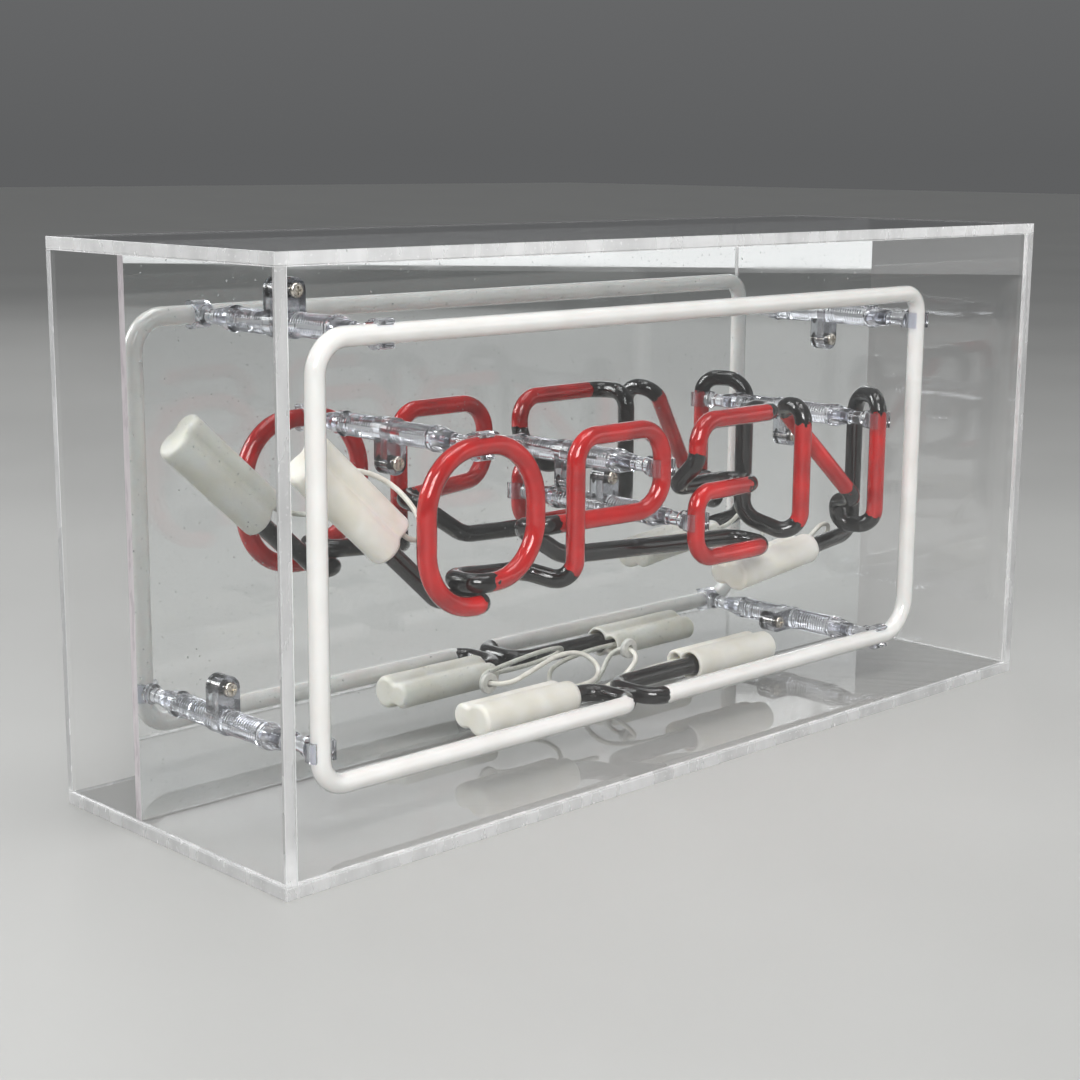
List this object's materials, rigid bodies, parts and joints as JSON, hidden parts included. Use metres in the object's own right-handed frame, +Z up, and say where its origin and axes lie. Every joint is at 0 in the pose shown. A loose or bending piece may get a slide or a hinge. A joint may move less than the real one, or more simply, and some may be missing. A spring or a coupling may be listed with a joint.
{
  "type": "neon advertising sign",
  "caption": "Free-standing boxed neon sign: red glass word tube inside a white border tube, held on clear supports in front of a mirror in a clear acrylic case.",
  "frame": {"origin": "middle of the case's underside", "axes": "+X to the right seen from the front, +Y from the front sheet to the open back, +Z up"},
  "size_m": [0.487, 0.154, 0.24],
  "materials": {
    "clear_acrylic": "clear cast acrylic sheet, polished faces, sawn edges",
    "mirror_acrylic": "mirror acrylic sheet",
    "clear_support_plastic": "clear moulded polycarbonate",
    "support_screw_chrome": "plated steel, cross recess",
    "cover_screw_steel": "blackened steel",
    "red_glass": "ruby coated glass tube, black block-out paint on the returns",
    "white_glass": "milk white coated glass tube, black block-out paint on the returns",
    "cream_silicone": "moulded silicone, satin",
    "electrode_metal": "nickel plated iron",
    "lead_silicone": "silicone insulated wire",
    "grommet_rubber": "translucent silicone",
    "supply_plastic": "black moulded ABS, fine texture",
    "board_laminate": "glass fibre laminate",
    "ferrite": "sintered ferrite",
    "coil_copper": "wound enamelled wire under tape",
    "capacitor_sleeve": "shrink sleeve",
    "sink_aluminium": "extruded aluminium",
    "transistor_plastic": "moulded epoxy",
    "bushing_plastic": "moulded nylon",
    "fitting_plastic": "black moulded nylon",
    "pin_brass": "plated brass",
    "rocker_plastic": "black moulded nylon, glossy",
    "foam_tape": "double sided foam tape"
  },
  "bodies": {
    "case": {"bottom_panel": "clear_acrylic", "top_panel": "clear_acrylic", "left_panel": "clear_acrylic", "right_panel": "clear_acrylic", "front_panel": "clear_acrylic"},
    "neon_unit": {"border_boot_left": "cream_silicone", "border_boot_right": "cream_silicone", "border_electrode_left": "electrode_metal", "border_electrode_right": "electrode_metal", "border_lead": "lead_silicone", "border_tube": "white_glass", "circuit_board": "board_laminate", "cover_screws": "cover_screw_steel", "filter_capacitor": "capacitor_sleeve", "heat_sink": "sink_aluminium", "inlet_pins": "pin_brass", "lead_grommets": "grommet_rubber", "letter_boot_left": "cream_silicone", "letter_boot_right": "cream_silicone", "letter_electrode_left": "electrode_metal", "letter_electrode_right": "electrode_metal", "letter_lead": "lead_silicone", "letter_tube": "red_glass", "link_lead": "lead_silicone", "mains_inlet": "fitting_plastic", "mirror_panel": "mirror_acrylic", "mounting_tape": "foam_tape", "outlet_bushings": "bushing_plastic", "supply_base": "supply_plastic", "supply_cover": "supply_plastic", "support_base_border_bottom_left": "clear_support_plastic", "support_base_border_bottom_right": "clear_support_plastic", "support_base_border_top_left": "clear_support_plastic", "support_base_border_top_right": "clear_support_plastic", "support_base_letter_e": "clear_support_plastic", "support_base_letter_n": "clear_support_plastic", "support_base_letter_o": "clear_support_plastic", "support_base_letter_p": "clear_support_plastic", "support_head_border_bottom_left": "clear_support_plastic", "support_head_border_bottom_right": "clear_support_plastic", "support_head_border_top_left": "clear_support_plastic", "support_head_border_top_right": "clear_support_plastic", "support_head_letter_e": "clear_support_plastic", "support_head_letter_n": "clear_support_plastic", "support_head_letter_o": "clear_support_plastic", "support_head_letter_p": "clear_support_plastic", "support_screws": "support_screw_chrome", "switch_body": "fitting_plastic", "transformer_coil": "coil_copper", "transformer_core": "ferrite", "transistors": "transistor_plastic"},
    "switch_rocker": {"rocker": "rocker_plastic"}
  },
  "joints": [
    {"name": "unit_slide", "type": "slide", "parent": "case", "child": "neon_unit", "axis": [0, 1, 0], "range_m": [0, 0.125]},
    {"name": "rocker_tilt", "type": "hinge", "parent": "neon_unit", "child": "switch_rocker", "pos_m": [0.007, 0.062, 0.083], "axis": [-1, 0, 0], "range_deg": [0, 18]}
  ]
}
